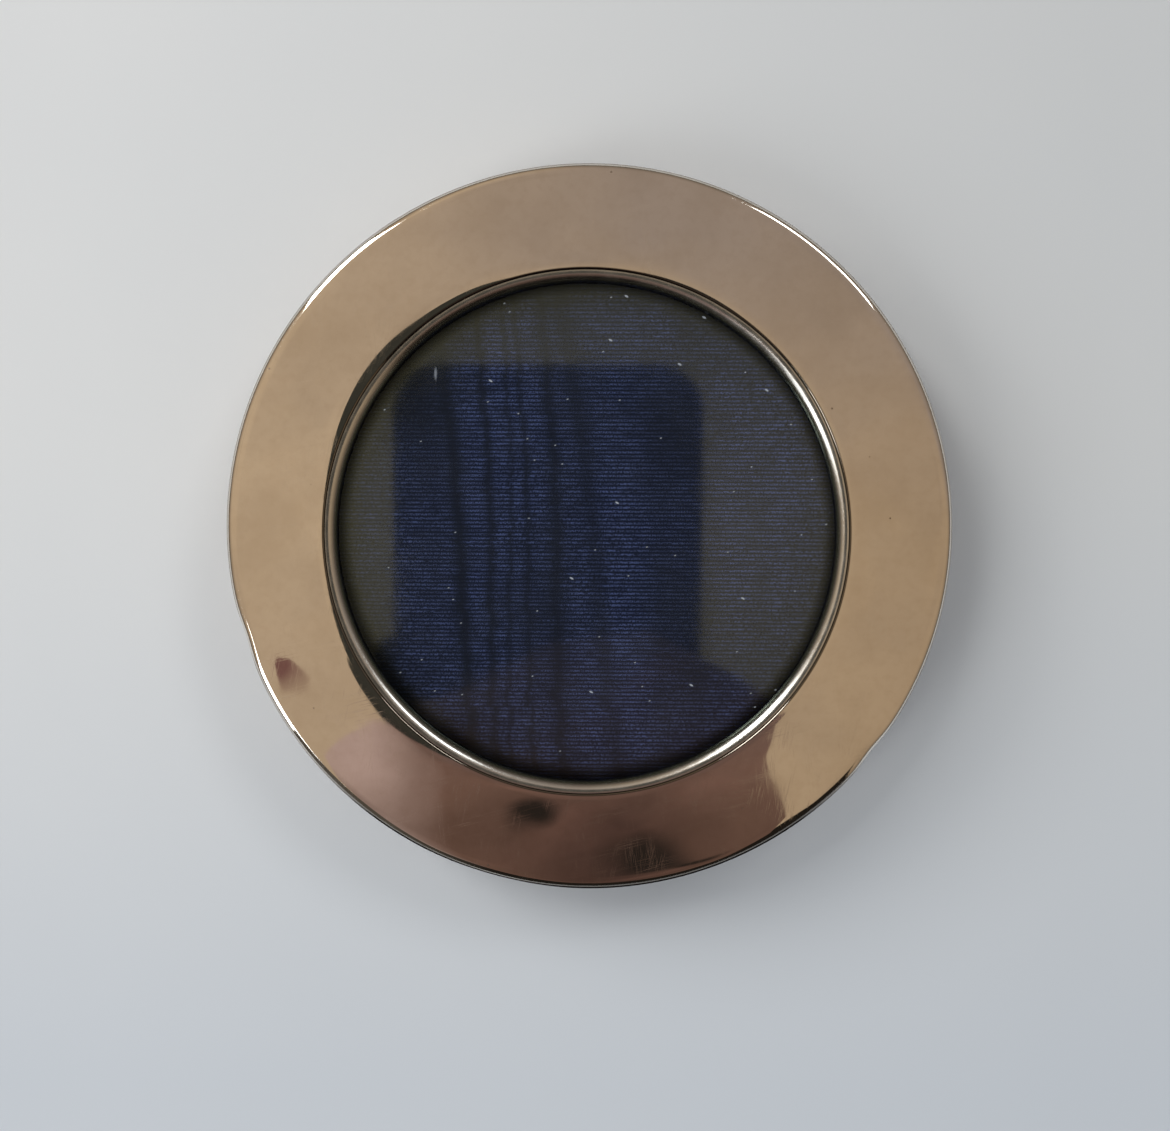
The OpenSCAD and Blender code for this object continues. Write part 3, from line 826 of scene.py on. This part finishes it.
def pull_tab():
    """Ribbon folded back on itself and ribbed across."""
    low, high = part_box("pull_tab")
    thick = 0.2 * MM
    selvedge = 0.1 * MM
    rib = 0.12 * MM
    valley = 0.82  # thickness between two ribs, as a share of the whole
    fold_r = (high.z - low.z) / 2
    start, end = low.y, high.y - fold_r
    along = list(np.arange(start, end, rib))
    middle = [(y, low.z + thick / 2) for y in along]
    middle += arc((end, low.z + fold_r), fold_r - thick / 2, -math.pi / 2, math.pi, 8)
    middle += [(y, high.z - thick / 2) for y in along[::-1]]
    rings = []
    count = len(middle)
    for i, (y, z) in enumerate(middle):
        y0, z0 = middle[max(i - 1, 0)]
        y1, z1 = middle[min(i + 1, count - 1)]
        length = math.hypot(y1 - y0, z1 - z0)
        ny, nz = -(z1 - z0) / length, (y1 - y0) / length
        half = thick / 2 * (valley if i % 2 else 1.0)
        upper = [(low.x, 0.5), (low.x + selvedge, 1), (high.x - selvedge, 1), (high.x, 0.5)]
        both = upper + [(x, -side) for x, side in upper[::-1]]
        rings.append(np.array([(x, y + ny * half * side, z + nz * half * side) for x, side in both]))
    made = piece("ribbon_tab", skin(rings), ribbon(), "pull_tab", 50)


# ---------- hinge and rivets ----------

def on_hinge(profile, loop=False):
    """Profile of (r, x) points turned about the hinge's axis."""
    turn = Matrix.Translation((0, HINGE.y, HINGE.z)) @ Matrix.Rotation(math.pi / 2, 4, "Y")
    return moved(lathed(profile, 48, loop), turn)


def knuckle(x_from, x_to):
    """Rolled knuckle: a tube about the hinge pin with rounded ends."""
    edge = 0.12 * MM
    corners = [(BORE_R, x_from, edge / 2), (BARREL_R, x_from, edge), (BARREL_R, x_to, edge),
               (BORE_R, x_to, edge / 2)]
    return on_hinge(subdivided(filleted(corners, 3), 0.8 * MM), loop=True)


def slab(outline, low, high, edge):
    """Plate of any outline whose upper and lower edges are eased by edge."""
    flat = np.array(outline)
    after = np.roll(flat, -1, 0)
    way = after - np.roll(flat, 1, 0)
    normal = np.stack([-way[:, 1], way[:, 0]], axis=1) / np.linalg.norm(way, axis=1)[:, None]
    area = np.sum(flat[:, 0] * after[:, 1] - after[:, 0] * flat[:, 1])
    inner = flat + normal * edge * (1 if area > 0 else -1)
    return raised([(inner, low), (flat, low + edge), (flat, high - edge), (inner, high)])


def hinge_upper_leaf(material):
    """Leaf on the back, narrower at its tip, with two knuckles and room between them for the third."""
    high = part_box("hinge_upper_leaf")[1]
    half = high.x
    base_y = HINGE.y + LEAF_BASE_LEN
    room = (2 * half - 2 * KNUCKLE_GAP) / 6 + KNUCKLE_GAP
    room_y = HINGE.y + BARREL_R + 0.3 * MM
    corners = both_sides([
        (room, room_y, 0.25 * MM), (room, HINGE.y, LEAF_EASE), (half, HINGE.y, LEAF_EASE),
        (half, base_y, LEAF_CORNER_R), (LEAF_TIP_W / 2, high.y, LEAF_CORNER_R),
    ])
    leaf = slab(filleted(corners, 6), high.z - LEAF_T, high.z, 0.07 * MM)
    shape = merged([leaf, knuckle(-half, -room), knuckle(room, half)])
    piece("upper_leaf", shape, material, "hinge_upper_leaf")


def hinge_lower_leaf(material):
    """Leaf on the strut with the middle knuckle and the lug that stops the strut."""
    low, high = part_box("hinge_lower_leaf")
    half_leaf, half = high.x, (2 * high.x - 2 * KNUCKLE_GAP) / 6
    leaf_top = levels("strut_lining")[1]
    shoulder_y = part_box("strut_velvet")[1].y
    corners = both_sides([
        (half_leaf, low.y, 0.8 * MM), (half_leaf, shoulder_y, 0.3 * MM), (half, shoulder_y, LEAF_EASE),
        (half, HINGE.y - 0.3 * MM, 0),
    ])
    leaf = slab(filleted(corners, 5), leaf_top - LEAF_T, leaf_top, 0.07 * MM)
    lug_corners = both_sides([(half, 0.2 * MM, 0), (half, LUG_LEN, 0.4 * MM)])
    lug_top = levels("hinge_upper_leaf")[1] - LEAF_T - HINGE.z - LUG_GAP
    lug = slab(filleted(lug_corners, 5), lug_top - LUG_T, lug_top, 0.06 * MM)
    turn = Matrix.Translation(HINGE) @ Matrix.Rotation(-math.radians(LUG_BACK_DEG), 4, "X")
    shape = merged([leaf, moved(lug, turn), knuckle(-half, half)])
    piece("lower_leaf", shape, material, "hinge_lower_leaf")


def hinge_pin():
    """Wire through the three knuckles with a low round head at each end."""
    low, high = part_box("hinge_pin")
    end, head_r = high.x, (high.z - low.z) / 2
    head = 0.4 * MM
    crown = 0.75 * head
    half = [(PIN_R, 0), (PIN_R, end - head), (head_r * 0.92, end - head), (head_r, end - crown)]
    for turn in np.radians((20, 40, 60, 75, 88)):
        half.append((head_r * math.cos(turn), end - crown + crown * math.sin(turn)))
    profile = [(r, -x) for r, x in half[:0:-1]] + half
    material = brass("pin_brass", (0.70, 0.53, 0.26), (0.48, 0.34, 0.16), 0.22)
    piece("hinge_wire", on_hinge(profile), material, "hinge_pin")


def rivets(profile, places):
    """The profile turned round an upright line at each (x, y)."""
    return merged([moved(lathed(profile, 48), Matrix.Translation((x, y, 0))) for x, y in places])


def upper_rivets(material):
    """Three rivets that hold the upper leaf on the back."""
    low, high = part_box("upper_rivets")
    head_z = levels("hinge_upper_leaf")[1] - LEAF_T
    profile = [(0.05 * MM, high.z), (SHANK_R, high.z), (SHANK_R, head_z), (RIVET_HEAD_R, head_z)]
    profile += [(r, head_z - h) for r, h in domed_head(RIVET_HEAD_R, head_z - low.z)]
    side_x, side_y, top_y = high.x - RIVET_HEAD_R, HINGE.y + 5 * MM, high.y - RIVET_HEAD_R
    places = [(-side_x, side_y), (side_x, side_y), (0, top_y)]
    piece("upper_rivet_heads", rivets(profile, places), material, "upper_rivets")


def lower_rivets(material):
    low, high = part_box("lower_rivets")
    x, y = high.x - RIVET_HEAD_R, (low.y + high.y) / 2
    dish, ease, tip_r = 0.12 * MM, 0.08 * MM, 0.05 * MM
    profile = [(tip_r, low.z)]
    profile += [(RIVET_HEAD_R * k / 4, low.z + dish * (k / 4) ** 2) for k in range(1, 5)]
    profile += [(RIVET_HEAD_R, low.z + VELVET_T), (SHANK_R, low.z + VELVET_T), (SHANK_R, high.z - ease),
                (SHANK_R - ease, high.z), (tip_r, high.z)]
    piece("lower_rivet_heads", rivets(profile, [(-x, y), (x, y)]), material, "lower_rivets")


# ---------- strut ----------

def strut_outline(inset, steps=8):
    """Outline of the tapered strut, moved in by inset."""
    low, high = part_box("strut_velvet")
    r = STRUT_CORNER_R
    centres = [(-high.x + r, low.y + r), (high.x - r, low.y + r),
               (STRUT_TOP_W / 2 - r, high.y - r), (-STRUT_TOP_W / 2 + r, high.y - r)]
    outline = []
    for i, centre in enumerate(centres):
        before, after = centres[i - 1], centres[(i + 1) % 4]
        start = math.atan2(centre[1] - before[1], centre[0] - before[0]) - math.pi / 2
        stop = math.atan2(after[1] - centre[1], after[0] - centre[0]) - math.pi / 2
        outline += arc(centre, r - inset, start, (stop - start) % math.tau, steps)
    return outline


def strut_board(material):
    """Wooden strut with eased edges, inside its velvet."""
    low, high = levels("strut_board")
    edge = 0.15 * MM
    wall = rounded(edge, low, 1) + rounded(edge, high, -1)[::-1]
    stack = [(strut_outline(VELVET_T + inset), z) for inset, z in wall]
    piece("strut_wood", raised(stack), material, "strut_board")


def strut_velvet(material):
    """Velvet over the strut's outer face and sides."""
    low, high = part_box("strut_velvet")
    edge = 0.6 * MM
    cut_edge = 0.15 * MM
    cap = 1.6 * MM  # inset of the flat faces inside and out
    stack = [(strut_outline(cap), low.z), (strut_outline(cap - 0.5 * MM), low.z)]
    stack += [(strut_outline(inset), z) for inset, z in rounded(edge, low.z, 1, 6)]
    stack += [(strut_outline(0), high.z - cut_edge), (strut_outline(cut_edge), high.z),
              (strut_outline(VELVET_T), high.z), (strut_outline(VELVET_T), low.z + VELVET_T),
              (strut_outline(cap), low.z + VELVET_T)]
    made = piece("strut_velvet_cover", raised(stack), material, "strut_velvet")


def strut_lining():
    low, high = levels("strut_lining")
    edge = 0.05 * MM
    full, eased = strut_outline(STRUT_PAPER_INSET), strut_outline(STRUT_PAPER_INSET + edge)
    stack = [(eased, low), (full, low + edge), (full, high - edge), (eased, high)]
    material = card("lining_paper", (0.012, 0.014, 0.035), (0.03, 0.035, 0.075))
    piece("strut_paper", raised(stack), material, "strut_lining")


# ---------- stage ----------

def camera():
    """Camera just over the frame, tipped a little towards its foot, as a phone held above it would be."""
    data = bpy.data.cameras.new("camera")
    data.sensor_width = CAMERA_SENSOR
    data.lens = CAMERA_LENS
    made = in_scene("camera", data)
    made.location = (CAMERA_X, CAMERA_Y, levels("silver_front")[1] + CAMERA_OVER_FACE)
    pitch, yaw = math.radians(CAMERA_PITCH_DEG), math.radians(CAMERA_YAW_DEG)
    look = Vector((-math.sin(yaw), -math.sin(pitch) * math.cos(yaw), -math.cos(pitch) * math.cos(yaw)))
    right = look.cross(Vector((0, 1, 0))).normalized()
    up = right.cross(look)
    turn = Matrix((right, up, -look)).transposed().to_quaternion()
    made.rotation_mode = "QUATERNION"
    made.rotation_quaternion = turn @ Quaternion((0, 0, 1), CAMERA_ROLL_RAD)
    bpy.context.scene.camera = made


def stage_mesh(name, points, material):
    """One flat face of the stage."""
    mesh = bpy.data.meshes.new(name)
    mesh.from_pydata(points, [], [tuple(range(len(points)))])
    mesh.materials.append(material)
    made = in_scene(name, mesh)
    return made


def square(half, z):
    """Corners of a level square over the origin."""
    return [(-half, -half, z), (half, -half, z), (half, half, z), (-half, half, z)]


def glow(name, colour_at):
    """Emission material of a studio card. colour_at(shader) gives its colour socket."""
    s = Shader(name)
    return s.surface(s.node("Emission", {"Color": colour_at(s), "Strength": 1.0}).outputs[0])


def reflector(name, points, material):
    """Studio card that only mirrors and glass see."""
    made = stage_mesh(name, points, material)
    made.visible_camera = made.visible_diffuse = made.visible_shadow = False


def level_card(name, outline, height, material):
    """Level reflector of any outline, which is given in millimetres."""
    reflector(name, [(x * MM, y * MM, height) for x, y in outline], material)


def ceiling_colour(s):
    """Warm, brightest to the left, duller beyond the frame's top and towards the card's edges."""
    warm = s.mix(s.span(s.x, 0.45, -0.42), (0.38, 0.285, 0.19), (0.51, 0.395, 0.275))
    far_up = s.times(s.span(s.y, -0.05, 0.35), s.span(s.x, -0.60, 0.04))
    warm = s.mix(far_up, warm, (0.30, 0.245, 0.208))
    near_left = s.times(s.span(s.y, -0.08, -0.28), s.span(s.x, -0.20, -0.40))
    warm = s.mix(s.times(near_left, 0.5), warm, (0.38, 0.295, 0.215))
    warm = s.mix(s.span(s.noise(0.22, 3), 0.5, 0.75, 0, 0.35), warm, (0.25, 0.195, 0.15))
    return s.mix(s.span(s.radius(), 1.2, 4.0, 0, 0.7), warm, (0.16, 0.13, 0.10))


def dark_colour(s):
    """Nearly black, a little lighter away from the frame's foot."""
    return s.mix(s.span(s.y, -76 * MM, -30 * MM), (0.0120, 0.0120, 0.0130), (0.036, 0.035, 0.029))


def brown_colour(s):
    """Brown with soft folds: darker in the middle, paler to the left and with three dark blots."""
    side = s.math("ABSOLUTE", s.plus(s.x, -2 * MM))
    folds = s.span(s.noise(22 * MM, 3, 2.2, 35), 0.36, 0.66, 0, 0.45)
    glints = s.span(s.noise(12 * MM, 3, 2.5, 24), 0.50, 0.72, 0, 0.40)
    base = s.mix(s.span(side, 6 * MM, 34 * MM), (0.062, 0.036, 0.032), (0.186, 0.111, 0.084))
    base = s.mix(s.span(s.y, -78 * MM, -66 * MM, 0, 0.7), base, (0.170, 0.100, 0.080))
    base = s.mix(s.span(s.y, -62 * MM, -34 * MM), base, (0.120, 0.090, 0.085))
    base = s.mix(folds, base, (0.070, 0.042, 0.034))
    base = s.mix(glints, base, (0.230, 0.125, 0.100))
    base = s.mix(s.span(s.x, -36 * MM, -58 * MM), base, (0.42, 0.31, 0.28))
    base = s.mix(s.span(s.y, -66 * MM, -80 * MM, 0, 0.45), base, (0.070, 0.038, 0.030))
    for blot in ((12, -86, 10, 5.5), (-16, -75.5, 5.5, 2.8), (26, -91, 7, 4)):
        base = s.mix(s.times(s.blot(*blot), 0.9), base, (0.010, 0.010, 0.009))
    return base


def patch_colour(s):
    """Dark red-brown that fades into the ceiling's colour at one corner."""
    return s.mix(s.blot(-78, -39, 5, 5), (0.33, 0.235, 0.17), (0.17, 0.085, 0.075))


def far_colour(s):
    """Dark brown to the left and nearly black from the middle on."""
    return s.mix(s.span(s.x, -0.20, -0.08), (0.075, 0.066, 0.055), (0.012, 0.010, 0.008))


def held_cards(height):
    """Dark and brown cards round the camera, and a dark one beyond, that the glass and the ring mirror."""
    dark = glow("dark_glow", dark_colour)
    block = [(-50.5, -130, 9), (25, -130, 9), (25, 34.5, 11), (-50.5, 34.5, 11)]
    wing = [(-45, -33, 2), (-57, -32, 4), (-53, -48, 3), (-45, -56, 2)]
    level_card("dark_card", filleted(block), height, dark)
    level_card("dark_wing", filleted(wing), height, dark)
    rim = [(-66, -60, 3), (-57, -52, 5), (-36, -46, 8), (-12, -33, 6), (12, -30, 6), (34, -41, 6),
           (45, -49, 1.5), (41, -60, 3), (46.5, -78, 3), (54, -140, 5), (-70, -140, 5), (-76, -84, 8)]
    patch = [(-80.5, -37.3, 1), (-74.5, -37.8, 2), (-71, -43, 1), (-71.5, -46, 1), (-77, -46.3, 1.5)]
    under = height - 2 * MM
    level_card("brown_card", filleted(rim), under, glow("brown_glow", brown_colour))
    level_card("brown_patch", filleted(patch), under, glow("patch_glow", patch_colour))
    far = [(-0.42, -0.30, 0.02), (0.31, -0.30, 0.02), (0.31, -0.30, 0.78), (-0.42, -0.30, 0.55)]
    reflector("far_dark_card", far, glow("far_glow", far_colour))


def softbox(name, azimuth_deg, elevation_deg, distance, size, power, colour, mirrored=True):
    """Area light aimed at the frame. Only a mirrored one shows in the silver."""
    data = bpy.data.lights.new(name, "AREA")
    data.shape = "RECTANGLE"
    data.size, data.size_y = size
    data.energy = power
    data.color = colour
    made = in_scene(name, data)
    a, e = math.radians(azimuth_deg), math.radians(elevation_deg)
    way = Vector((math.cos(a) * math.cos(e), math.sin(a) * math.cos(e), math.sin(e)))
    made.location = way * distance
    made.rotation_mode = "QUATERNION"
    made.rotation_quaternion = way.to_track_quat("Z", "Y")
    made.visible_camera = False
    made.visible_glossy = mirrored


def room_light():
    """World of soft grey light, which mirrors see as a darker warm room."""
    s = Shader("studio", "worlds")
    grey = s.node("Background", {"Color": (0.30, 0.32, 0.35, 1)}).outputs[0]
    warm = s.node("Background", {"Color": (0.13, 0.11, 0.09, 1)}).outputs[0]
    mirrored = s.node("LightPath").outputs["Is Glossy Ray"]
    both = s.node("MixShader", {0: mirrored, 1: grey, 2: warm}).outputs[0]
    s.node("OutputWorld", {"Surface": both})
    bpy.context.scene.world = s.owner


def studio():
    """Floor, cards that the mirror sees, lights and world."""
    stage_mesh("floor", square(FLOOR_HALF, FLOOR_Z), pale_floor())
    reflector("ceiling_card", square(CEILING_HALF, CEILING_Z), glow("ceiling_glow", ceiling_colour))
    held_cards(bpy.context.scene.camera.location.z + 1 * MM)
    softbox("window_right", 50, 40, 1.2, (0.40, 0.30), 2.2, DAYLIGHT)
    softbox("window_left", 136, 38, 1.2, (0.27, 0.75), 5.6, DAYLIGHT)
    softbox("window_low", 212, 38, 1.2, (0.32, 0.70), 3.2, DAYLIGHT)
    softbox("side_fill", 158, 27, 1.2, (0.40, 0.40), 2.5, (0.96, 0.98, 1.0), mirrored=False)
    softbox("under_fill", 225, -48, 1.0, (0.9, 0.9), 6.0, (1.0, 0.98, 0.95), mirrored=False)
    softbox("under_side", 20, -35, 1.0, (0.6, 0.6), 2.5, DAYLIGHT, mirrored=False)
    room_light()
    bpy.context.scene.view_settings.view_transform = "Standard"


def build():
    camera()
    pile = velvet()
    leaf_brass = brass("hinge_brass", (0.78, 0.60, 0.30), (0.55, 0.40, 0.19), 0.24)
    rivet_brass = brass("rivet_brass", (0.84, 0.67, 0.35), (0.66, 0.49, 0.24), 0.16)
    board = wood("back_wood")
    silver_front()
    aperture_bead()
    core_ring()
    rear_ring_cover(pile)
    skirt_pins()
    glass()
    spacer_ring()
    moire_silk()
    silk_wadding()
    insert_card()
    back_board(board)
    back_velvet(pile)
    pull_tab()
    hinge_upper_leaf(leaf_brass)
    upper_rivets(rivet_brass)
    strut_board(board)
    strut_velvet(pile)
    strut_lining()
    hinge_lower_leaf(leaf_brass)
    lower_rivets(rivet_brass)
    hinge_pin()
    studio()


build()
